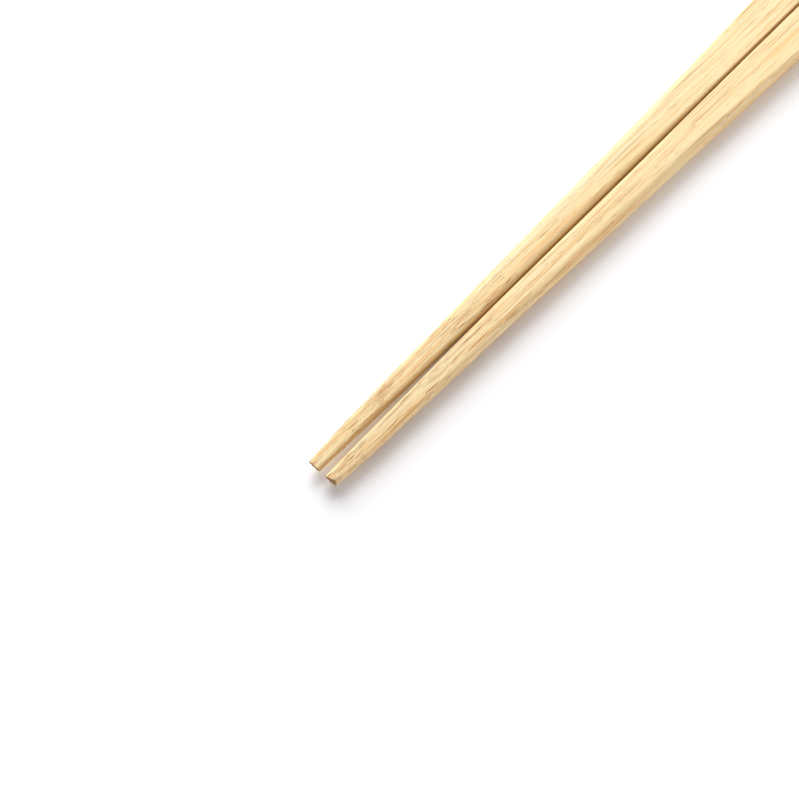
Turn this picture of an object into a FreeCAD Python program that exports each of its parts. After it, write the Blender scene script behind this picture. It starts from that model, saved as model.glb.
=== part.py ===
"""A pair of disposable wooden chopsticks that hasn't been split yet.

One slip of wood makes both sticks. A saw kerf parts them along the middle and stops short of the head, where
an uncut web still holds the pair together. Each stick tapers in width and in thickness towards its tip, ends
in a steeper nose, and has rounded long edges, rounder outside than beside the kerf. It is thinned from above
and from below, so the tips hang a little above the ground. The kerf opens into a slim wedge at the tips.
Towards the head the rounding runs out, first beside the kerf and then outside, and leaves a plain rectangle
in section.

Millimetres. X runs from the tips to the head, Y across the pair, and the flat part of the underside lies on
Z = 0. The origin is below the middle of the pair.
"""
import FreeCAD, Part
from dataclasses import dataclass
import math
import os
import Sketcher

# Each driving size: its name, its value and what it measures.
SIZES = (
    ("total_length", 210.0, "from the tips to the head's end"),
    ("head_width", 15.6, "across the pair at the head"),
    ("head_thickness", 5.2, "of the head"),
    ("tip_width", 2.7, "of one stick at its tip"),
    ("tip_thickness", 2.4, "of one stick at its tip"),
    ("nose_width", 3.5, "of one stick where its nose starts"),
    ("nose_thickness", 3.0, "of one stick where its nose starts"),
    ("wedge_thickness", 4.4, "of one stick where the wedge has closed"),
    ("tip_lift", 1.4, "of the underside above the ground at the tips"),
    ("tip_gap", 1.7, "between the two tips"),
    ("kerf_width", 0.6, "of the saw cut between the sticks"),
    ("web_length", 20.0, "of the uncut wood, back from the head's end"),
    ("nose_length", 12.0, "from the tips to where the nose starts"),
    ("wedge_length", 50.0, "from the tips to where the wedge has closed to the kerf"),
    ("rounded_length", 90.0, "from the tips to where the rounding beside the kerf starts to run out"),
    ("inner_runout", 36.0, "in which it runs out, and halfway along it the outer rounding starts to do so"),
    ("taper_length", 142.0, "from the tips to where the taper and the outer rounding end"),
    ("tip_radius", 0.7, "of the long edges at the tips"),
    ("inner_radius", 1.0, "of the long edges beside the kerf, where they are roundest"),
    ("outer_radius", 1.6, "of the outer long edges, where they are roundest"),
    ("edge_ease", 0.2, "radius left on the long edges at the head"),
    ("tip_bevel", 0.2, "round the end of each tip"),
    ("head_bevel", 0.35, "round the end of the head"),
)


@dataclass
class Section:
    """One section of a stick, each entry but the name an expression on the sheet.

    The section stands at a distance from the tips. Its faces are measured from the middle of the pair and
    from the ground, and the rounding beside the kerf differs from the rounding outside.
    """
    name: str
    distance: str
    inner_face: str
    outer_face: str
    underside: str
    top: str
    inner_radius: str
    outer_radius: str


def make_sheet():
    """The spreadsheet that holds every driving size under its own name."""
    sheet = document.addObject("Spreadsheet::Sheet", "sizes")
    for row, (name, value, meaning) in enumerate(SIZES, start=1):
        sheet.set(f"A{row}", name)
        sheet.set(f"B{row}", str(value))
        sheet.set(f"C{row}", meaning)
        sheet.setAlias(f"B{row}", name)
    document.recompute()
    return sheet


def graded(first, last, covered, length):
    """The expression of a size that changes evenly from first to last over a length, part of it covered."""
    return f"({first} + ({last} - {first}) * ({covered}) / ({length}))"


def stick_sections():
    """The sections of a stick from its tip to its head, in order."""
    half_gap = "(sizes.tip_gap / 2)"
    half_kerf = "(sizes.kerf_width / 2)"
    half_head = "(sizes.head_width / 2)"
    outer_runout = "(sizes.rounded_length + sizes.inner_runout / 2)"
    runout_end = "(sizes.rounded_length + sizes.inner_runout)"
    middle_radius = "(sizes.inner_radius + sizes.edge_ease) / 2"
    nose_inner = graded(half_gap, half_kerf, "sizes.nose_length", "sizes.wedge_length")
    nose_outer = f"({nose_inner} + sizes.nose_width)"

    def outer_face(distance):
        covered = f"{distance} - sizes.nose_length"
        return graded(nose_outer, half_head, covered, "sizes.taper_length - sizes.nose_length")

    def underside(distance):
        return graded("sizes.tip_lift", "0", distance, "sizes.rounded_length")

    def outer_radius(distance):
        covered = f"{distance} - {outer_runout}"
        whole = f"sizes.taper_length - {outer_runout}"
        return graded("sizes.outer_radius", "sizes.edge_ease", covered, whole)

    nose_underside = underside("sizes.nose_length")
    wedge_underside = underside("sizes.wedge_length")
    return (
        Section("tip_end", "0", f"{half_gap} + sizes.tip_bevel",
                f"{half_gap} + sizes.tip_width - sizes.tip_bevel",
                "sizes.tip_lift + sizes.tip_bevel", "sizes.tip_lift + sizes.tip_thickness - sizes.tip_bevel",
                "sizes.tip_radius", "sizes.tip_radius"),
        Section("tip_section", "sizes.tip_bevel", half_gap, f"{half_gap} + sizes.tip_width",
                "sizes.tip_lift", "sizes.tip_lift + sizes.tip_thickness",
                "sizes.tip_radius", "sizes.tip_radius"),
        Section("nose_section", "sizes.nose_length", nose_inner, nose_outer,
                nose_underside, f"{nose_underside} + sizes.nose_thickness",
                "sizes.tip_radius", "sizes.tip_radius"),
        Section("wedge_section", "sizes.wedge_length", half_kerf, outer_face("sizes.wedge_length"),
                wedge_underside, f"{wedge_underside} + sizes.wedge_thickness",
                "sizes.inner_radius", "sizes.outer_radius"),
        Section("rounded_section", "sizes.rounded_length", half_kerf, outer_face("sizes.rounded_length"),
                "0", "sizes.head_thickness", "sizes.inner_radius", "sizes.outer_radius"),
        Section("shoulder_section", outer_runout, half_kerf, outer_face(outer_runout),
                "0", "sizes.head_thickness", middle_radius, "sizes.outer_radius"),
        Section("runout_section", runout_end, half_kerf, outer_face(runout_end),
                "0", "sizes.head_thickness", "sizes.edge_ease", outer_radius(runout_end)),
        Section("shank_section", "sizes.taper_length", half_kerf, half_head,
                "0", "sizes.head_thickness", "sizes.edge_ease", "sizes.edge_ease"),
        Section("head_section", "sizes.total_length - sizes.head_bevel", half_kerf, half_head,
                "0", "sizes.head_thickness", "sizes.edge_ease", "sizes.edge_ease"),
        Section("head_end", "sizes.total_length", half_kerf, f"{half_head} - sizes.head_bevel",
                "sizes.head_bevel", "sizes.head_thickness - sizes.head_bevel",
                "sizes.edge_ease", "sizes.edge_ease"),
    )


def origin_plane(body, role):
    """One of the body's own origin planes, by its role."""
    return next(plane for plane in body.Origin.OriginFeatures if plane.Role == role)


def attached_sketch(body, name, role):
    """A new sketch on one of the body's origin planes."""
    sketch = body.newObject("Sketcher::SketchObject", name)
    sketch.AttachmentSupport = [(origin_plane(body, role), "")]
    sketch.MapMode = "FlatFace"
    return sketch


def add_outline(sketch, points):
    """Closes straight lines through the points and gives their numbers."""
    lines = []
    for place, point in enumerate(points):
        following = points[(place + 1) % len(points)]
        lines.append(sketch.addGeometry(Part.LineSegment(point, following), False))
    for place, line in enumerate(lines):
        following = lines[(place + 1) % len(lines)]
        sketch.addConstraint(Sketcher.Constraint("Coincident", line, LINE_END, following, LINE_START))
    return lines


def hold(sketch, name, constraint, expression):
    """Adds a constraint under a name and binds its value to an expression."""
    index = sketch.addConstraint(constraint)
    sketch.renameConstraint(index, name)
    sketch.setExpression(f"Constraints.{name}", expression)


def hold_face(sketch, name, kind, line, value, expression):
    """Holds a line's distance from the sketch's own origin."""
    constraint = Sketcher.Constraint(kind, AXIS, LINE_START, line, LINE_START, value)
    hold(sketch, name, constraint, expression)


def draw_section(body, sheet, section):
    """Draws a section of one stick as a rectangle with rounded corners, across the pair at its distance."""
    sketch = attached_sketch(body, section.name, "YZ_Plane")
    sketch.setExpression("AttachmentOffset.Base.z", f"{section.distance} - sizes.total_length / 2")

    # The drawing starts as the fullest section and is pulled to size by what holds it.
    inner = sheet.kerf_width / 2
    outer = sheet.head_width / 2
    top = sheet.head_thickness
    radius = sheet.inner_radius
    corners = (
        (inner + radius, radius, 180),
        (outer - radius, radius, 270),
        (outer - radius, top - radius, 0),
        (inner + radius, top - radius, 90),
    )
    arcs = []
    for across, up, start in corners:
        circle = Part.Circle(FreeCAD.Vector(across, up, 0), FreeCAD.Vector(0, 0, 1), radius)
        arc = Part.ArcOfCircle(circle, math.radians(start), math.radians(start + 90))
        arcs.append(sketch.addGeometry(arc, False))
    lines = []
    for place, arc in enumerate(arcs):
        following = arcs[(place + 1) % len(arcs)]
        run = Part.LineSegment(sketch.getPoint(arc, LINE_END), sketch.getPoint(following, LINE_START))
        line = sketch.addGeometry(run, False)
        sketch.addConstraint(Sketcher.Constraint("Tangent", arc, LINE_END, line, LINE_START))
        sketch.addConstraint(Sketcher.Constraint("Tangent", line, LINE_END, following, LINE_START))
        lines.append(line)

    underside_line, outer_line, top_line, inner_line = lines
    for line in (underside_line, top_line):
        sketch.addConstraint(Sketcher.Constraint("Horizontal", line))
    for line in (outer_line, inner_line):
        sketch.addConstraint(Sketcher.Constraint("Vertical", line))
    sketch.addConstraint(Sketcher.Constraint("Equal", arcs[0], arcs[3]))
    sketch.addConstraint(Sketcher.Constraint("Equal", arcs[1], arcs[2]))
    hold(sketch, "inner_radius", Sketcher.Constraint("Radius", arcs[0], radius), section.inner_radius)
    hold(sketch, "outer_radius", Sketcher.Constraint("Radius", arcs[1], radius), section.outer_radius)
    hold_face(sketch, "inner_face", "DistanceX", inner_line, inner, section.inner_face)
    hold_face(sketch, "outer_face", "DistanceX", outer_line, outer, section.outer_face)
    hold_face(sketch, "top", "DistanceY", top_line, top, section.top)
    if section.underside == "0":
        sketch.addConstraint(Sketcher.Constraint("PointOnObject", underside_line, LINE_START, AXIS))
    else:
        hold_face(sketch, "underside", "DistanceY", underside_line, radius / 2, section.underside)
    return sketch


def draw_web(body, sheet):
    """Draws the web from the side, with the bevels of the head's end."""
    sketch = attached_sketch(body, "web_side", "XZ_Plane")
    back = sheet.total_length / 2
    front = back - sheet.web_length
    top = sheet.head_thickness
    bevel = sheet.head_bevel
    outline = (
        (front, 0), (back - bevel, 0), (back, bevel),
        (back, top - bevel), (back - bevel, top), (front, top),
    )
    points = [FreeCAD.Vector(along, up, 0) for along, up in outline]
    underside_line, lower_bevel, back_line, upper_bevel, top_line, front_line = add_outline(sketch, points)

    for line in (underside_line, top_line):
        sketch.addConstraint(Sketcher.Constraint("Horizontal", line))
    for line in (back_line, front_line):
        sketch.addConstraint(Sketcher.Constraint("Vertical", line))
    sketch.addConstraint(Sketcher.Constraint("PointOnObject", underside_line, LINE_START, AXIS))
    hold_face(sketch, "back_end", "DistanceX", back_line, back, "sizes.total_length / 2")
    hold_face(sketch, "front_end", "DistanceX", underside_line, front,
              "sizes.total_length / 2 - sizes.web_length")
    hold_face(sketch, "top", "DistanceY", top_line, top, "sizes.head_thickness")
    for name, line in (("lower", lower_bevel), ("upper", upper_bevel)):
        first, last = (LINE_START, LINE_END) if line == lower_bevel else (LINE_END, LINE_START)
        run = Sketcher.Constraint("DistanceX", line, first, line, last, bevel)
        rise = Sketcher.Constraint("DistanceY", line, LINE_START, line, LINE_END, bevel)
        hold(sketch, f"{name}_run", run, "sizes.head_bevel")
        hold(sketch, f"{name}_rise", rise, "sizes.head_bevel")
    return sketch


def make_pair():
    """Makes the pair as one solid: the web, one stick lofted through its sections, and its mirror image."""
    sheet = make_sheet()
    body = document.addObject("PartDesign::Body", "chopstick_pair")
    body.Label = "chopstick_pair"

    # The web reaches into both sticks by their eased edges, so that the faces of the head are flush.
    web = body.newObject("PartDesign::Pad", "web")
    web.Profile = draw_web(body, sheet)
    web.SideType = "Symmetric"
    web.setExpression("Length", "sizes.kerf_width + 2 * sizes.edge_ease")

    sketches = [draw_section(body, sheet, section) for section in stick_sections()]
    stick = body.newObject("PartDesign::AdditiveLoft", "stick")
    stick.Profile = sketches[0]
    stick.Sections = sketches[1:]
    stick.Ruled = True
    body.Tip = stick
    document.recompute()

    other_stick = body.newObject("PartDesign::Mirrored", "other_stick")
    other_stick.Originals = [stick]
    other_stick.MirrorPlane = (origin_plane(body, "XZ_Plane"), [""])
    body.Tip = other_stick
    body.Placement = FreeCAD.Placement()
    document.recompute()
    return body


def check(body):
    """Stops the script if a feature failed or the body isn't one sound solid."""
    for item in document.Objects:
        if "Invalid" in item.State or "Error" in item.State:
            raise RuntimeError(f"{item.Name} failed: {item.State}")
    shape = body.Shape
    if shape.isNull() or not shape.isValid() or len(shape.Solids) != 1:
        raise RuntimeError(f"{body.Label} isn't one sound solid")


# Numbers by which a sketch knows its own axis or origin, and the ends of a line or an arc.
AXIS = -1
LINE_START = 1
LINE_END = 2

document = FreeCAD.newDocument("chopsticks")
pair = make_pair()
check(pair)

os.makedirs("parts", exist_ok=True)
pair.Shape.exportStep(f"parts/{pair.Label}.step")
box = pair.Shape.BoundBox
print(f"{pair.Label}: {box.XLength:.3f} x {box.YLength:.3f} x {box.ZLength:.3f} mm,",
      f"{pair.Shape.Volume:.1f} mm3, {len(pair.Shape.Faces)} faces")
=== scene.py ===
"""Dresses a pair of unsplit wooden chopsticks: its worn shape, its grain and the table it lies on.

The pair is modelled again over its plain solid, in metres, with X from the tips to the head, Y across and
the flat part of the underside on Z = 0. Each stick is bridged through the solid's sections and one more where
the web starts, and cut into fine rings, so that worn tips, uneven edges and the wavy walls of the saw cut can
be pressed inwards from the true shape.
"""

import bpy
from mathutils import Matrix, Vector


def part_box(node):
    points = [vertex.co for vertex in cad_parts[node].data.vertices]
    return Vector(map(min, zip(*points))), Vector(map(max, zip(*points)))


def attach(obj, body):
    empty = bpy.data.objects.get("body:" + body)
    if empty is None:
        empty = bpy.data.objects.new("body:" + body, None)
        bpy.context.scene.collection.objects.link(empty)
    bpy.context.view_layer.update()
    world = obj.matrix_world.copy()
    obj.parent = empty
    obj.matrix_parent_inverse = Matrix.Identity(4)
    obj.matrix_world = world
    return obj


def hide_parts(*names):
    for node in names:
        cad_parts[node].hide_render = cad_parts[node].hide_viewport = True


bl_info = {
    "name": "Unsplit Chopsticks",
    "version": (1, 0, 0),
    "blender": (4, 5, 0),
    "location": "3D View > Sidebar > Chopsticks",
    "description": "Carves a pair of unsplit wooden chopsticks and lays it on a white table",
    "category": "Add Mesh",
}

import math
from typing import NamedTuple

import bmesh
import bpy
from bpy.props import FloatProperty, FloatVectorProperty, IntProperty, PointerProperty
from mathutils import Vector, noise

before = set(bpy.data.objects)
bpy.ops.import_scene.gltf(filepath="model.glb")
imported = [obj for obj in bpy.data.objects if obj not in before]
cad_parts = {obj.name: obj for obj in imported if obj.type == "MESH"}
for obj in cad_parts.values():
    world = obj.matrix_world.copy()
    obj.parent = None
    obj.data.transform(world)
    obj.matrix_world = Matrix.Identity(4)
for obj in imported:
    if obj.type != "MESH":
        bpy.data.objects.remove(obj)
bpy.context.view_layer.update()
NODE = "chopstick_pair"
PIECE = "carved_pair"
MM = 0.001
LOW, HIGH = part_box(NODE)
FULL_LENGTH = HIGH[0] - LOW[0]
HEAD_WIDTH = HIGH[1] - LOW[1]
HEAD_THICKNESS = HIGH[2] - LOW[2]
TIP_X = LOW[0]
WHITE = (1.0, 1.0, 1.0, 1.0)

# The width of the camera's sensor, in millimetres.
SENSOR_WIDTH = 36.0

# Points nearer than this to a line or a plane count as lying on it.
SLACK = MM / 100

# Two faces that meet at more than this stay sharp when the pair is shaded.
CREASE = math.radians(35)


def length(name, description, default):
    """A size property in metres."""
    return FloatProperty(name=name, description=description, default=default, subtype="DISTANCE",
                         unit="LENGTH", precision=5)


def share(name, description, default):
    """A property between nothing and all."""
    return FloatProperty(name=name, description=description, default=default, min=0.0, max=1.0,
                         subtype="FACTOR")


def degrees(name, description, default):
    """An angle property, written here in degrees."""
    return FloatProperty(name=name, description=description, default=math.radians(default), subtype="ANGLE",
                         unit="ROTATION")


def power(name, description, default):
    """A lamp's power in watts."""
    return FloatProperty(name=name, description=description, default=default, unit="POWER")


def number(name, description, default):
    """A plain number."""
    return FloatProperty(name=name, description=description, default=default)


def count(name, description, default):
    """A whole number."""
    return IntProperty(name=name, description=description, default=default)


def tint(name, description, red, green, blue):
    """A colour property. The colour is written as a screen shows it, from 0 to 255, and kept as light."""
    light = [((part / 255 + 0.055) / 1.055) ** 2.4 for part in (red, green, blue)]
    return FloatVectorProperty(name=name, description=description, default=light, subtype="COLOR", size=3,
                               min=0.0, max=1.0)


class StickSizes(bpy.types.PropertyGroup):
    """The shape of the two sticks. Their whole length, width and thickness come from the part in model.glb.
    """
    tip_width: length("Tip Width", "Width of one stick at its tip", 2.7 * MM)
    tip_thickness: length("Tip Thickness", "Thickness at the tip", 2.4 * MM)
    nose_width: length("Nose Width", "Width of one stick where its nose starts", 3.5 * MM)
    nose_thickness: length("Nose Thickness", "Thickness where the nose starts", 3.0 * MM)
    wedge_thickness: length("Wedge Thickness", "Thickness where the wedge has closed", 4.4 * MM)
    tip_lift: length("Tip Lift", "Height of the underside above the table at the tips", 1.4 * MM)
    tip_gap: length("Tip Gap", "Gap between the two tips", 1.7 * MM)
    kerf: length("Kerf", "Width of the saw cut between the sticks", 0.6 * MM)
    web_length: length("Web Length", "Uncut wood back from the head's end", 20 * MM)
    nose_length: length("Nose Length", "From the tips to where the nose starts", 12 * MM)
    wedge_length: length("Wedge Length", "From the tips to where the wedge has closed to the kerf", 50 * MM)
    rounded_length: length("Rounded Length", "From the tips to where the inner rounding starts to run out",
                           90 * MM)
    inner_runout: length("Inner Run-out", "Length in which the rounding beside the kerf runs out", 36 * MM)
    taper_length: length("Taper Length", "From the tips to where the taper and outer rounding end", 142 * MM)
    tip_radius: length("Tip Radius", "Rounding of the long edges at the tips", 0.7 * MM)
    inner_radius: length("Inner Radius", "Rounding beside the kerf where it is roundest", 1.0 * MM)
    outer_radius: length("Outer Radius", "Rounding of the outer edges where it is roundest", 1.6 * MM)
    edge_ease: length("Edge Ease", "Rounding left on the long edges at the head", 0.2 * MM)
    tip_bevel: length("Tip Bevel", "Bevel round the end of each tip", 0.2 * MM)
    head_bevel: length("Head Bevel", "Bevel round the end of the head", 0.35 * MM)


class StickDetail(bpy.types.PropertyGroup):
    """How finely the sticks are cut up, and how uneven the wood is."""
    corner_steps: count("Corner Steps", "Facets round each long edge", 6)
    wide_cuts: count("Wide Cuts", "Cuts across the top and underside", 11)
    tall_cuts: count("Tall Cuts", "Cuts across each side", 7)
    ring_step: length("Ring Step", "Distance from one ring to the next", 0.5 * MM)
    end_insets: count("End Insets", "Rings inside the end of each tip", 3)
    inset_step: length("Inset Step", "Distance between those rings", 0.25 * MM)
    hollows: length("Hollows", "Depth of the long hollows left by the plane", 0.06 * MM)
    ripple: length("Ripple", "Depth of the short unevenness of the surface", 0.015 * MM)
    saw_waves: length("Saw Waves", "Depth of the waves in the walls of the saw cut", 0.06 * MM)
    edge_wear: length("Edge Wear", "Depth of the nicks along the long edges", 0.1 * MM)
    end_wear: length("End Wear", "Depth of the uneven end of each tip", 0.2 * MM)
    undercut: length("Undercut", "How far a tip's lower edge lies behind its upper edge", 0.4 * MM)
    broken_corner: length("Broken Corner", "How far one tip's outer top corner is broken back", 0.65 * MM)


class WoodLook(bpy.types.PropertyGroup):
    """Colours and strengths of the wood."""
    cream: tint("Cream", "Palest wood", 251, 232, 184)
    honey: tint("Honey", "Middle tone of the wood", 250, 223, 168)
    amber: tint("Amber", "Warm patches and streaks", 241, 186, 112)
    brown: tint("Brown", "Pores and dark streaks", 168, 102, 42)
    sawn: tint("Sawn", "Walls of the saw cut", 255, 230, 184)
    # The two end colours are darker than the planed wood. Part of that is the end grain's own colour and part
    # is painted shade on the ends.
    end_grain_and_shade_pale: tint("End Light", "Palest part of the end grain", 196, 160, 104)
    end_grain_and_shade_dark: tint("End Dark", "Darkest part of the end grain", 118, 88, 48)
    streak_strength: share("Streak Strength", "How strong the fine streaks are", 0.5)
    vein_strength: share("Vein Strength", "How dark the long thin veins are", 0.75)
    pore_strength: share("Pore Strength", "How dark the pores are", 0.8)
    amber_strength: share("Amber Strength", "How strong the warm patches are", 0.5)
    planed_roughness: share("Planed Roughness", "Mean roughness of the planed faces", 0.55)
    cut_roughness: share("Cut Roughness", "Roughness of the sawn walls and the ends", 0.85)
    gloss: share("Gloss", "Specular level of the wood", 0.35)
    fibre_depth: length("Fibre Depth", "Height of the raised fibres", 0.03 * MM)


class StageLook(bpy.types.PropertyGroup):
    """The table, the light and the camera."""
    table_size: length("Table Size", "Side of the square table", 4.0)
    table_tone: share("Table Tone", "How pale the table is to the light that falls on the pair", 0.9)
    table_lift: number("Table Lift", "How many times paler the camera sees the table", 1.23)
    room_light: share("Room Light", "Strength of the light from all round", 0.37)
    room_tint: tint("Room Tint", "Colour of the light from all round", 247, 247, 255)
    fill_power: power("Fill Power", "Power of the small low lamp", 2.6)
    fill_size: length("Fill Size", "Side of the small lamp", 0.25)
    fill_tint: tint("Fill Tint", "Colour of the small lamp", 255, 236, 224)
    fill_height: degrees("Fill Height", "Height of the small lamp above the table", 9)
    fill_turn: degrees("Fill Turn", "How far the small lamp is right of the camera", 45)
    window_power: power("Window Power", "Power of the large soft lamp", 16.4)
    window_size: length("Window Size", "Side of the large soft lamp", 1.1)
    window_tint: tint("Window Tint", "Colour of the large soft lamp", 255, 255, 255)
    lamp_distance: length("Lamp Distance", "How far both lamps are from the pair", 1.0)
    window_height: degrees("Window Height", "Height of the lamp above the table", 35)
    window_turn: degrees("Window Turn", "How far the lamp is left of straight behind the pair", 12)
    camera_distance: length("Camera Distance", "From the camera to what it looks at", 480 * MM)
    camera_height: degrees("Camera Height", "Height of the camera above the table", 68)
    camera_bearing: degrees("Camera Bearing", "Turn from the pair's length to the camera's view", 43.47)
    camera_lens: number("Camera Lens", "Focal length in mm on a 36 mm sensor", 108.0)
    aim_from_tips: length("Aim From Tips", "From the tips to the point that the camera looks at", 22.97 * MM)
    aim_aside: length("Aim Aside", "From the middle of the pair to that point", 0.51 * MM)


class Maths:
    """A shader value that takes part in plain Python sums."""

    def __init__(self, shader, socket):
        self.shader = shader
        self.socket = socket

    def combine(self, operation, *values):
        node = self.shader.node("ShaderNodeMath", {"operation": operation}, dict(enumerate(values)))
        return Maths(self.shader, node.outputs[0])

    def __add__(self, other):
        return self.combine("ADD", self, other)

    def __radd__(self, other):
        return self.combine("ADD", other, self)

    def __sub__(self, other):
        return self.combine("SUBTRACT", self, other)

    def __rsub__(self, other):
        return self.combine("SUBTRACT", other, self)

    def __mul__(self, other):
        return self.combine("MULTIPLY", self, other)

    def __rmul__(self, other):
        return self.combine("MULTIPLY", other, self)

    def __abs__(self):
        return self.combine("ABSOLUTE", self)

    def at_least(self, other):
        return self.combine("MAXIMUM", self, other)

    def between(self, low, high):
        """Rises smoothly from 0 at low to 1 at high, or falls where low is the larger."""
        settings = {"interpolation_type": "SMOOTHSTEP"}
        values = {"Value": self, "From Min": low, "From Max": high}
        return Maths(self.shader, self.shader.node("ShaderNodeMapRange", settings, values).outputs[0])


class Shader:
    """A material or world whose tree is built node by node."""
    # The Mix node has its own sockets for each kind of value, and these are the ones for colours.
    MIX_COLOUR_INPUTS = (0, 6, 7)
    MIX_COLOUR_RESULT = 2

    def __init__(self, owner):
        owner.use_nodes = True
        self.tree = owner.node_tree
        self.tree.nodes.clear()

    def node(self, kind, settings=None, values=None):
        """Adds a node, and sets its settings first and then its sockets, by name or by number."""
        node = self.tree.nodes.new(kind)
        for name, setting in (settings or {}).items():
            setattr(node, name, setting)
        for name, value in (values or {}).items():
            self.feed(node.inputs[name], value)
        return node

    def feed(self, socket, value):
        """Links a value to a socket, or sets the socket where the value is plain."""
        source = value.socket if isinstance(value, Maths) else value
        if isinstance(source, bpy.types.NodeSocket):
            self.tree.links.new(source, socket)
        else:
            socket.default_value = source

    def mix(self, factor, first, second):
        """Mixes two colours."""
        inputs = dict(zip(self.MIX_COLOUR_INPUTS, (factor, first, second)))
        node = self.node("ShaderNodeMix", {"data_type": "RGBA"}, inputs)
        return node.outputs[self.MIX_COLOUR_RESULT]

    def blend(self, factor, first, second):
        """Mixes two values."""
        return first + (second - first) * factor

    def stretched(self, where, along, across, shift=(0.0, 0.0, 0.0)):
        """A place squeezed so that one unit is that many millimetres along the grain and across it."""
        squeeze = (1 / along, 1 / across, 1 / across)
        node = self.node("ShaderNodeMapping", {"vector_type": "POINT"},
                         {"Vector": where, "Location": shift, "Scale": squeeze})
        return node.outputs["Vector"]

    def clouds(self, where, detail=2.0, roughness=0.5):
        """Noise from 0 to 1, mostly near a half."""
        node = self.node("ShaderNodeTexNoise", {"noise_dimensions": "3D"},
                         {"Vector": where, "Scale": 1.0, "Detail": detail, "Roughness": roughness})
        return Maths(self, node.outputs["Fac"])

    def seen(self):
        """1 for what the camera sees straight, in a mirror or through glass, and 0 for light on the pair."""
        path = self.node("ShaderNodeLightPath")
        camera, glossy, transmission = (Maths(self, path.outputs[f"Is {ray} Ray"])
                                        for ray in ("Camera", "Glossy", "Transmission"))
        return camera.at_least(glossy).at_least(transmission)


def opaque(colour):
    """A colour property with its alpha, as a socket takes it."""
    return (*colour, 1.0)


class Finish(NamedTuple):
    """How one surface of the wood looks: sockets, shader values or plain numbers."""
    colour: object
    roughness: object
    height: object


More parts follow.
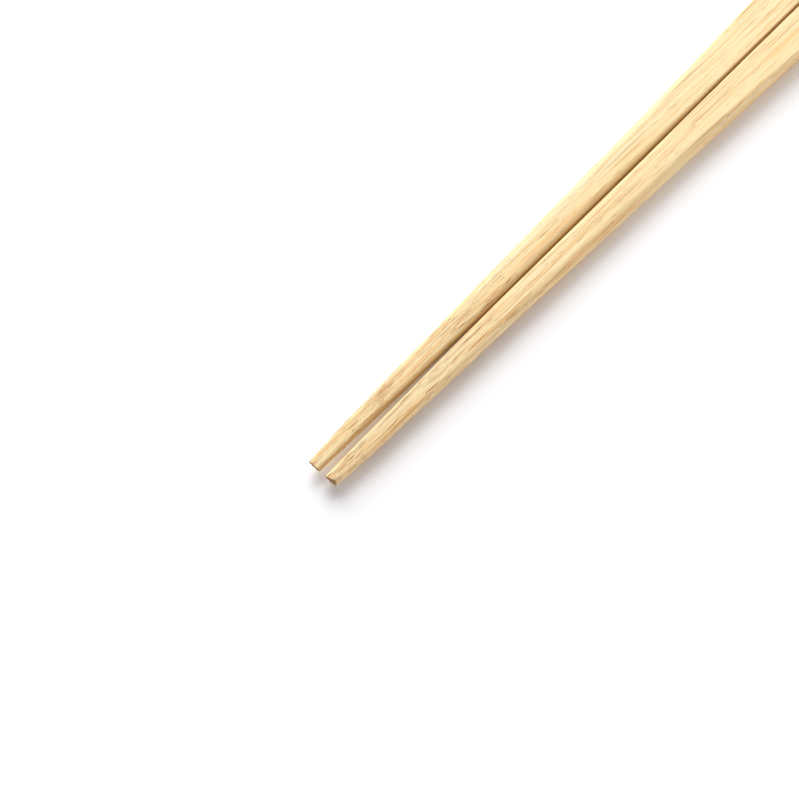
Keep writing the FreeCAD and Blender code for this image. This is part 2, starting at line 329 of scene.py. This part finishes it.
class Wood:
    """The finishes of the wood, all on one piece's own places, in millimetres."""
    # The fibres sway sideways within a band this wide, in drifts of this length and width, and up and down by
    # this share of it.
    SWAY = 1.6
    DRIFT_LENGTH = 70.0
    DRIFT_WIDTH = 9.0
    SWAY_UP_SHARE = 0.6

    # They also lean, by this much for each millimetre along.
    LEAN_ACROSS = 0.012
    LEAN_UP = 0.009

    # From the first place along the pair the marks grow more numerous towards the tips, up to the second.
    MARKS_START = 10.0
    MARKS_FULL = -75.0

    # How far each pattern is shifted at the tips, so that more of it shows there.
    TIP_PATCHES = 0.05
    TIP_VEINS = 0.03
    TIP_PORES = 0.08

    # How strongly the pores gather in flocks.
    PORE_FLOCKS = 0.35

    # How high the streaks, the bands and the saw's marks stand and how deep the pores are, as shares of the
    # height of the fibres.
    STREAK_HEIGHT = 0.5
    BAND_HEIGHT = 0.2
    TOOTH_HEIGHT = 0.5
    PORE_DEPTH = 0.6

    # How strong the brown of the torn walls and the rings of the ends are.
    TORN_BROWN = 0.4
    RING_STRENGTH = 0.4

    # Streaks change the roughness by this much from the smoothest to the roughest.
    ROUGHNESS_SPREAD = 0.2

    def __init__(self, shader, look):
        self.shader = shader
        self.look = look
        place = shader.node("ShaderNodeTexCoord").outputs["Object"]
        in_mm = shader.node("ShaderNodeMapping", None, {"Vector": place, "Scale": (1 / MM, 1 / MM, 1 / MM)})
        self.place = in_mm.outputs["Vector"]
        parts = shader.node("ShaderNodeSeparateXYZ", None, {"Vector": self.place})
        self.along, self.across, self.up = (Maths(shader, parts.outputs[name]) for name in "XYZ")
        self.fibres = self.leaning_place()

    def leaning_place(self):
        """The place as the fibres see it: they lean and sway a little, so streaks run out at the sides."""
        drifting = self.shader.stretched(self.place, self.DRIFT_LENGTH, self.DRIFT_WIDTH)
        sway = (self.shader.clouds(drifting, detail=1.0) - 0.5) * self.SWAY
        leaning = {
            "X": self.along,
            "Y": self.across + self.along * self.LEAN_ACROSS + sway,
            "Z": self.up - self.along * self.LEAN_UP + sway * self.SWAY_UP_SHARE,
        }
        return self.shader.node("ShaderNodeCombineXYZ", None, leaning).outputs["Vector"]

    def noise(self, along, across, shift, detail=2.0, roughness=0.5):
        """Noise that runs with the fibres. Each pattern has its own shift, so that no two coincide."""
        return self.shader.clouds(self.shader.stretched(self.fibres, along, across, shift), detail, roughness)

    def planed(self):
        """The planed faces: pale bands, warm patches, streaks, veins, and pores that gather at the tips."""
        look = self.look
        mix = self.shader.mix
        near_tip = self.along.between(self.MARKS_START, self.MARKS_FULL)

        bands = self.noise(along=90.0, across=1.5, shift=(0.0, 0.0, 0.0), detail=3.0, roughness=0.55)
        colour = mix(bands.between(0.36, 0.64), opaque(look.cream), opaque(look.honey))

        patches = self.noise(along=22.0, across=1.0, shift=(3.1, 7.7, 1.9)) + near_tip * self.TIP_PATCHES
        colour = mix(patches.between(0.5, 0.7) * look.amber_strength, colour, opaque(look.amber))

        streaks = self.noise(along=14.0, across=0.2, shift=(9.3, 2.2, 5.0), detail=3.0, roughness=0.6)
        colour = mix(streaks.between(0.45, 0.72) * look.streak_strength, colour, opaque(look.amber))

        veins = self.noise(along=24.0, across=0.15, shift=(5.2, 1.4, 3.6), detail=1.0)
        veins = veins + near_tip * self.TIP_VEINS
        colour = mix(veins.between(0.62, 0.72) * look.vein_strength, colour, opaque(look.brown))

        pores = self.noise(along=4.5, across=0.12, shift=(1.7, 8.8, 4.4))
        gathered = self.noise(along=16.0, across=0.8, shift=(6.0, 0.4, 2.6), detail=1.0)
        pores = pores + (gathered - 0.5) * self.PORE_FLOCKS + near_tip * self.TIP_PORES
        pore = pores.between(0.67, 0.75)
        colour = mix(pore * look.pore_strength, colour, opaque(look.brown))

        smoothest = look.planed_roughness - self.ROUGHNESS_SPREAD / 2
        roughness = streaks * self.ROUGHNESS_SPREAD + smoothest
        height = streaks * self.STREAK_HEIGHT + bands * self.BAND_HEIGHT - pore * self.PORE_DEPTH
        return Finish(colour, roughness, height)

    def sawn(self):
        """The walls of the saw cut: torn fibres, crossed by the marks of the saw's teeth."""
        look = self.look
        torn = self.noise(along=3.0, across=0.2, shift=(0.5, 3.0, 7.0), detail=3.0, roughness=0.65)
        teeth = self.noise(along=0.35, across=4.0, shift=(4.0, 1.0, 6.0), detail=1.0)
        colour = self.shader.mix(torn.between(0.45, 0.8), opaque(look.sawn), opaque(look.amber))
        colour = self.shader.mix(torn.between(0.62, 0.82) * self.TORN_BROWN, colour, opaque(look.brown))
        return Finish(colour, look.cut_roughness, torn + teeth * self.TOOTH_HEIGHT)

    def end(self):
        """The cut ends, where the open fibres stand end on. Their dark colours are partly the end grain's own
        and partly painted shade on the ends.
        """
        look = self.look
        fibres = self.noise(along=0.6, across=0.16, shift=(8.0, 6.0, 1.0), detail=3.0, roughness=0.6)
        rings = self.noise(along=6.0, across=0.9, shift=(2.0, 5.0, 8.0), detail=1.0)
        # The dark end colours are partly end grain and partly painted shade.
        colour = self.shader.mix(fibres.between(0.35, 0.7), opaque(look.end_grain_and_shade_pale), opaque(look.end_grain_and_shade_dark))
        ring = rings.between(0.45, 0.7) * self.RING_STRENGTH
        colour = self.shader.mix(ring, colour, opaque(look.end_grain_and_shade_dark))
        return Finish(colour, look.cut_roughness, fibres)

    def layered(self, mask, lower, upper):
        """One finish over another where the mask is 1."""
        colour = self.shader.mix(mask, lower.colour, upper.colour)
        roughness = self.shader.blend(mask, lower.roughness, upper.roughness)
        height = self.shader.blend(mask, lower.height, upper.height)
        return Finish(colour, roughness, height)


# From the wall of the kerf into the wood, in millimetres, the sawn look is full up to the first of these and
# gone at the second. It sets in over the last stretch before the wedge has closed.
SAWN_FULL = 0.1
SAWN_GONE = 0.16
SAWN_ONSET = 12.0

# End grain, whose darker colours are partly painted shade, begins where this share of a face's normal points
# along the pair, and is full at the second.
END_FACING = (0.5, 0.8)


def wood_material(sizes, look):
    """The wood of the whole pair: planed outside, sawn in the kerf, and end grain on the ends, darkened
    partly by painted shade.
    """
    material = bpy.data.materials.new("pale_wood")
    shader = Shader(material)
    wood = Wood(shader, look)

    half_kerf = sizes.kerf / 2 / MM
    wedge_end = (TIP_X + sizes.wedge_length) / MM
    in_kerf = abs(wood.across).between(half_kerf + SAWN_GONE, half_kerf + SAWN_FULL)
    in_kerf = in_kerf * wood.along.between(wedge_end - SAWN_ONSET, wedge_end)
    normal = shader.node("ShaderNodeNewGeometry").outputs["Normal"]
    facing = shader.node("ShaderNodeSeparateXYZ", None, {"Vector": normal})
    at_end = abs(Maths(shader, facing.outputs["X"])).between(*END_FACING)

    long_sides = wood.layered(in_kerf, wood.planed(), wood.sawn())
    finish = wood.layered(at_end, long_sides, wood.end())
    bump = shader.node("ShaderNodeBump", None, {"Height": finish.height, "Distance": look.fibre_depth})
    surface = shader.node("ShaderNodeBsdfPrincipled", None, {
        "Base Color": finish.colour, "Roughness": finish.roughness, "Specular IOR Level": look.gloss,
        "Normal": bump.outputs["Normal"]})
    shader.node("ShaderNodeOutputMaterial", None, {"Surface": surface.outputs["BSDF"]})
    return material


def table_material(look):
    """White paint that keeps the pair's shadow and looks whiter to the camera than to the light."""
    material = bpy.data.materials.new("white_table")
    shader = Shader(material)
    paints = []
    for tone in (look.table_tone, look.table_tone * look.table_lift):
        paint = shader.node("ShaderNodeBsdfDiffuse", None, {"Color": opaque((tone, tone, tone))})
        paints.append(paint.outputs["BSDF"])
    lit, seen = paints
    surface = shader.node("ShaderNodeMixShader", None, {0: shader.seen(), 1: lit, 2: seen})
    shader.node("ShaderNodeOutputMaterial", None, {"Surface": surface.outputs["Shader"]})
    return material


class Section(NamedTuple):
    """One section of a stick.

    It stands at a distance from the tips. Its inner and outer faces are measured from the middle of the pair,
    and at an end its edges are drawn in by a bevel. The rounding beside the kerf differs from that outside.
    """
    distance: float
    inner: float
    outer: float
    drawn_in: float
    underside: float
    thickness: float
    inner_round: float
    outer_round: float


def stick_sections(sizes):
    """The sections of a stick from its tip to its head."""
    half_gap = sizes.tip_gap / 2
    half_kerf = sizes.kerf / 2
    half_head = HEAD_WIDTH / 2
    nose = sizes.nose_length
    wedge = sizes.wedge_length
    rounded = sizes.rounded_length
    outer_runout = rounded + sizes.inner_runout / 2
    runout_end = rounded + sizes.inner_runout
    taper = sizes.taper_length
    web_start = FULL_LENGTH - sizes.web_length
    bevel_start = FULL_LENGTH - sizes.head_bevel
    small = sizes.tip_radius
    inner_full = sizes.inner_radius
    outer_full = sizes.outer_radius
    ease = sizes.edge_ease
    nose_inner = half_gap + (half_kerf - half_gap) * nose / wedge
    nose_outer = nose_inner + sizes.nose_width
    tip_outer = half_gap + sizes.tip_width

    def outer(distance):
        return nose_outer + (half_head - nose_outer) * (distance - nose) / (taper - nose)

    def lift(distance):
        return sizes.tip_lift * (1 - distance / rounded)

    left_outside = outer_full + (ease - outer_full) * (runout_end - outer_runout) / (taper - outer_runout)

    # Each row gives the fields of a section in their order.
    rows = (
        (0.0, half_gap, tip_outer, sizes.tip_bevel, sizes.tip_lift, sizes.tip_thickness, small, small),
        (sizes.tip_bevel, half_gap, tip_outer, 0.0, sizes.tip_lift, sizes.tip_thickness, small, small),
        (nose, nose_inner, nose_outer, 0.0, lift(nose), sizes.nose_thickness, small, small),
        (wedge, half_kerf, outer(wedge), 0.0, lift(wedge), sizes.wedge_thickness, inner_full, outer_full),
        (rounded, half_kerf, outer(rounded), 0.0, 0.0, HEAD_THICKNESS, inner_full, outer_full),
        (outer_runout, half_kerf, outer(outer_runout), 0.0, 0.0, HEAD_THICKNESS, (inner_full + ease) / 2,
         outer_full),
        (runout_end, half_kerf, outer(runout_end), 0.0, 0.0, HEAD_THICKNESS, ease, left_outside),
        (taper, half_kerf, half_head, 0.0, 0.0, HEAD_THICKNESS, ease, ease),
        (web_start, half_kerf, half_head, 0.0, 0.0, HEAD_THICKNESS, ease, ease),
        (bevel_start, half_kerf, half_head, 0.0, 0.0, HEAD_THICKNESS, ease, ease),
        (FULL_LENGTH, half_kerf, half_head, sizes.head_bevel, 0.0, HEAD_THICKNESS, ease, ease),
    )
    return [Section(*row) for row in rows]


def draw_ring(bm, section, detail):
    """One section as a ring of edges: a rectangle with bevelled corners, its sides cut into short runs."""
    at_head = section.distance > FULL_LENGTH / 2
    near = section.inner if at_head else section.inner + section.drawn_in
    far = section.outer - section.drawn_in
    low = section.underside + section.drawn_in
    high = section.underside + section.thickness - section.drawn_in
    outline = ((near, low), (far, low), (far, high), (near, high))
    known = set(bm.edges)
    corners = [bm.verts.new((TIP_X + section.distance, across, up)) for across, up in outline]
    bm.faces.new(corners)
    inner_low, outer_low, outer_high, inner_high = corners
    roundings = (
        ([outer_low, outer_high], section.outer_round),
        ([inner_low, inner_high], section.inner_round),
    )
    for pair, radius in roundings:
        bmesh.ops.bevel(bm, geom=pair, affect="VERTICES", offset=radius,
                        segments=detail.corner_steps, profile=0.5, material=-1)
    ring = [edge for edge in bm.edges if edge not in known]
    bmesh.ops.delete(bm, geom=ring[0].link_faces[:], context="FACES_ONLY")

    # The longest edges are the straight sides, and the short ones go round the corners.
    sides = sorted(ring, key=lambda edge: edge.calc_length())[-len(corners):]
    wide = [edge for edge in sides if abs(edge.verts[0].co.z - edge.verts[1].co.z) < SLACK]
    tall = [edge for edge in sides if edge not in wide]
    bmesh.ops.subdivide_edges(bm, edges=wide, cuts=detail.wide_cuts)
    bmesh.ops.subdivide_edges(bm, edges=tall, cuts=detail.tall_cuts)
    return [edge for edge in bm.edges if edge not in known]


def bridge_stick(bm, sizes, detail):
    """Bridges one stick through its sections, cuts it into fine rings and closes its ends."""
    sections = stick_sections(sizes)
    rings = [draw_ring(bm, section, detail) for section in sections]
    for before, after, start, end in zip(rings, rings[1:], sections, sections[1:]):
        skin = bmesh.ops.bridge_loops(bm, edges=before + after)
        cuts = round((end.distance - start.distance) / detail.ring_step) - 1
        if cuts > 0:
            bmesh.ops.subdivide_edges(bm, edges=skin["edges"], cuts=cuts, use_grid_fill=True)
    tip = bmesh.ops.contextual_create(bm, geom=rings[0])["faces"]
    bmesh.ops.contextual_create(bm, geom=rings[-1])
    for _ in range(detail.end_insets):
        bmesh.ops.inset_region(bm, faces=tip, thickness=detail.inset_step, use_even_offset=True)


def join_head(bm, sizes):
    """Takes away the two inner faces along the web and bridges what they leave open."""
    inner_reach = sizes.kerf / 2 + sizes.edge_ease + SLACK
    web_start = TIP_X + FULL_LENGTH - sizes.web_length - SLACK
    inner_faces = [face for face in bm.faces
                   if all(abs(v.co.y) < inner_reach and v.co.x > web_start for v in face.verts)]
    bmesh.ops.delete(bm, geom=inner_faces, context="FACES")
    open_edges = [edge for edge in bm.edges if edge.is_boundary]
    web = bmesh.ops.bridge_loops(bm, edges=open_edges)
    bmesh.ops.subdivide_edges(bm, edges=web["edges"], cuts=1, use_grid_fill=True)


def rough(place, along, across, seed):
    """Unevenness from 0 to 1 with its hills that many metres long and wide."""
    spot = Vector((place.x / along, place.y / across, place.z / across + seed))
    return 0.5 + 0.5 * noise.noise(spot)


def eased(value, low, high):
    """Rises smoothly from 0 at low to 1 at high, or falls where low is the larger."""
    part = min(1.0, max(0.0, (value - low) / (high - low)))
    return part * part * (3 - 2 * part)


# The waves of the saw cut fade out this far past its walls, and set in over the last stretch of the wedge.
KERF_WALL_FADE = 0.05 * MM
SAW_WAVE_ONSET = 10 * MM

# The wear of a tip's end reaches this far back.
TIP_WEAR_REACH = 1.2 * MM


def press_inwards(vertex, normal, sizes, detail):
    """How far one point of the true shape moves, always into the wood."""
    place = vertex.co
    from_tip = place.x - TIP_X
    hollows = detail.hollows * rough(place, along=30 * MM, across=2.5 * MM, seed=0)
    ripple = detail.ripple * rough(place, along=2.5 * MM, across=0.5 * MM, seed=5)

    # The normal leans both sideways and up or down on a long edge, and only one way on a face.
    on_edge = eased(min(abs(normal.y), abs(normal.z)), 0.3, 0.65)
    nicks = eased(rough(place, along=3.5 * MM, across=1.2 * MM, seed=11), 0.55, 0.8)
    depth = hollows + ripple + detail.edge_wear * on_edge * nicks
    in_kerf = eased(abs(place.y), sizes.kerf / 2 + KERF_WALL_FADE, sizes.kerf / 2)
    in_kerf *= eased(from_tip, sizes.wedge_length - SAW_WAVE_ONSET, sizes.wedge_length)
    depth += in_kerf * detail.saw_waves * rough(place, along=5 * MM, across=9 * MM, seed=17)
    return normal * -depth


def wear_tip(vertex, sizes, detail):
    """How far a point near a tip is set back towards the head."""
    place = vertex.co
    from_tip = place.x - TIP_X
    reach = eased(from_tip, TIP_WEAR_REACH, 0.0)
    back = detail.end_wear * rough(place, along=9 * MM, across=0.6 * MM, seed=23)
    outside = eased(-place.y, sizes.tip_gap / 2, sizes.tip_gap / 2 + sizes.tip_width)
    on_top = eased(place.z, sizes.tip_lift, sizes.tip_lift + sizes.tip_thickness)
    back += detail.broken_corner * outside * on_top + detail.undercut * (1 - on_top)
    return Vector((back * reach, 0.0, 0.0))


def wear(bm, sizes, detail):
    """Makes the true shape uneven, as cut and handled wood is."""
    bm.normal_update()
    shifts = [press_inwards(v, v.normal, sizes, detail) + wear_tip(v, sizes, detail) for v in bm.verts]
    for vertex, shift in zip(bm.verts, shifts):
        vertex.co += shift


def shade_smooth(bm):
    """Smooth shading, broken where two faces meet at a crease."""
    for face in bm.faces:
        face.smooth = True
    for edge in bm.edges:
        edge.smooth = len(edge.link_faces) != 2 or edge.calc_face_angle() < CREASE


def object_from(name, bm):
    """A new object with the bmesh as its mesh."""
    mesh = bpy.data.meshes.new(name)
    bm.to_mesh(mesh)
    bm.free()
    made = bpy.data.objects.new(name, mesh)
    bpy.context.collection.objects.link(made)
    return made


class CHOPSTICKS_OT_carve(bpy.types.Operator):
    """Carves both sticks and the web that joins them"""
    bl_idname = "chopsticks.carve"
    bl_label = "Carve the Pair"

    def execute(self, context):
        sizes = context.scene.stick_sizes
        detail = context.scene.stick_detail
        bm = bmesh.new()
        bridge_stick(bm, sizes, detail)
        bmesh.ops.mirror(bm, geom=bm.verts[:] + bm.edges[:] + bm.faces[:], axis="Y", merge_dist=0.0)
        join_head(bm, sizes)
        bmesh.ops.recalc_face_normals(bm, faces=bm.faces)
        wear(bm, sizes, detail)
        wide_faces = [face for face in bm.faces if len(face.verts) > 4]
        bmesh.ops.triangulate(bm, faces=wide_faces)
        shade_smooth(bm)
        pair = object_from(PIECE, bm)
        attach(pair, "root")
        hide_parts(NODE)
        return {"FINISHED"}


class CHOPSTICKS_OT_grain(bpy.types.Operator):
    """Gives the pair its wood"""
    bl_idname = "chopsticks.grain"
    bl_label = "Grain the Wood"

    def execute(self, context):
        pair = bpy.data.objects[PIECE]
        pair.data.materials.clear()
        pair.data.materials.append(wood_material(context.scene.stick_sizes, context.scene.wood_look))
        return {"FINISHED"}


def turned_to(bearing, height):
    """The direction that leads off at a bearing from +X and climbs at an angle."""
    level = math.cos(height)
    return Vector((math.cos(bearing) * level, math.sin(bearing) * level, math.sin(height)))


def aim_object(item, spot, target):
    """Puts a camera or a lamp at a spot and turns it to its target."""
    item.location = spot
    item.rotation_euler = (target - spot).to_track_quat("-Z", "Y").to_euler()


def lay_table(look):
    """A flat white square that the pair lies on."""
    bm = bmesh.new()
    bmesh.ops.create_grid(bm, x_segments=1, y_segments=1, size=look.table_size / 2)
    table = object_from("table", bm)
    table.data.materials.append(table_material(look))


def light_room(look):
    """White for the camera all round, and an even light on the pair."""
    world = bpy.data.worlds.new("room")
    bpy.context.scene.world = world
    shader = Shader(world)
    level = shader.blend(shader.seen(), look.room_light, 1.0)
    colour = shader.mix(shader.seen(), opaque(look.room_tint), WHITE)
    glow = shader.node("ShaderNodeBackground", None, {"Color": colour, "Strength": level})
    shader.node("ShaderNodeOutputWorld", None, {"Surface": glow.outputs["Background"]})


def hang_lamp(name, size, power, colour, spot):
    """A square soft lamp that faces the middle of the pair."""
    light = bpy.data.lights.new(name, "AREA")
    light.color = colour
    light.shape = "SQUARE"
    light.size = size
    light.energy = power
    lamp = bpy.data.objects.new(name, light)
    lamp.visible_camera = False
    bpy.context.collection.objects.link(lamp)
    aim_object(lamp, spot, Vector((0.0, 0.0, 0.0)))


def hang_lamps(look):
    """The window, behind the pair as the camera sees it, and a fill that lightens the near sides."""
    window = turned_to(look.camera_bearing + look.window_turn, look.window_height)
    hang_lamp("window", look.window_size, look.window_power, look.window_tint, window * look.lamp_distance)
    fill = turned_to(look.camera_bearing + math.pi + look.fill_turn, look.fill_height)
    hang_lamp("fill", look.fill_size, look.fill_power, look.fill_tint, fill * look.lamp_distance)


def set_camera(look):
    """A camera beyond the tips that looks down at them."""
    lens = bpy.data.cameras.new("camera")
    lens.lens = look.camera_lens
    lens.sensor_width = SENSOR_WIDTH
    lens.clip_start = MM
    camera = bpy.data.objects.new("camera", lens)
    bpy.context.collection.objects.link(camera)
    target = Vector((TIP_X + look.aim_from_tips, look.aim_aside, 0.0))
    backwards = turned_to(look.camera_bearing + math.pi, look.camera_height)
    aim_object(camera, target + backwards * look.camera_distance, target)
    bpy.context.scene.camera = camera


class CHOPSTICKS_OT_stage(bpy.types.Operator):
    """Sets the white table, the light and the camera"""
    bl_idname = "chopsticks.stage"
    bl_label = "Set the Stage"

    def execute(self, context):
        look = context.scene.stage_look
        lay_table(look)
        light_room(look)
        hang_lamps(look)
        set_camera(look)
        context.scene.view_settings.view_transform = "Standard"
        return {"FINISHED"}


class CHOPSTICKS_PT_panel(bpy.types.Panel):
    """The steps and sizes of the pair"""
    bl_idname = "CHOPSTICKS_PT_panel"
    bl_label = "Chopsticks"
    bl_space_type = "VIEW_3D"
    bl_region_type = "UI"
    bl_category = "Chopsticks"

    def draw(self, context):
        for step in STEPS:
            self.layout.operator(step.bl_idname)
        for name in GROUPS:
            group = getattr(context.scene, name)
            box = self.layout.box()
            for prop in group.__annotations__:
                box.prop(group, prop)


STEPS = (CHOPSTICKS_OT_carve, CHOPSTICKS_OT_grain, CHOPSTICKS_OT_stage)
GROUPS = {
    "stick_sizes": StickSizes,
    "stick_detail": StickDetail,
    "wood_look": WoodLook,
    "stage_look": StageLook,
}
CLASSES = (*GROUPS.values(), *STEPS, CHOPSTICKS_PT_panel)


def register():
    """Makes the steps and the sizes known to Blender."""
    for each in CLASSES:
        bpy.utils.register_class(each)
    for name, group in GROUPS.items():
        setattr(bpy.types.Scene, name, PointerProperty(type=group))


def unregister():
    """Takes the steps and the sizes out of Blender again."""
    for name in GROUPS:
        delattr(bpy.types.Scene, name)
    for each in reversed(CLASSES):
        bpy.utils.unregister_class(each)


def main():
    """Runs every step in order."""
    register()
    bpy.ops.chopsticks.carve()
    bpy.ops.chopsticks.grain()
    bpy.ops.chopsticks.stage()


if __name__ == "__main__":
    main()
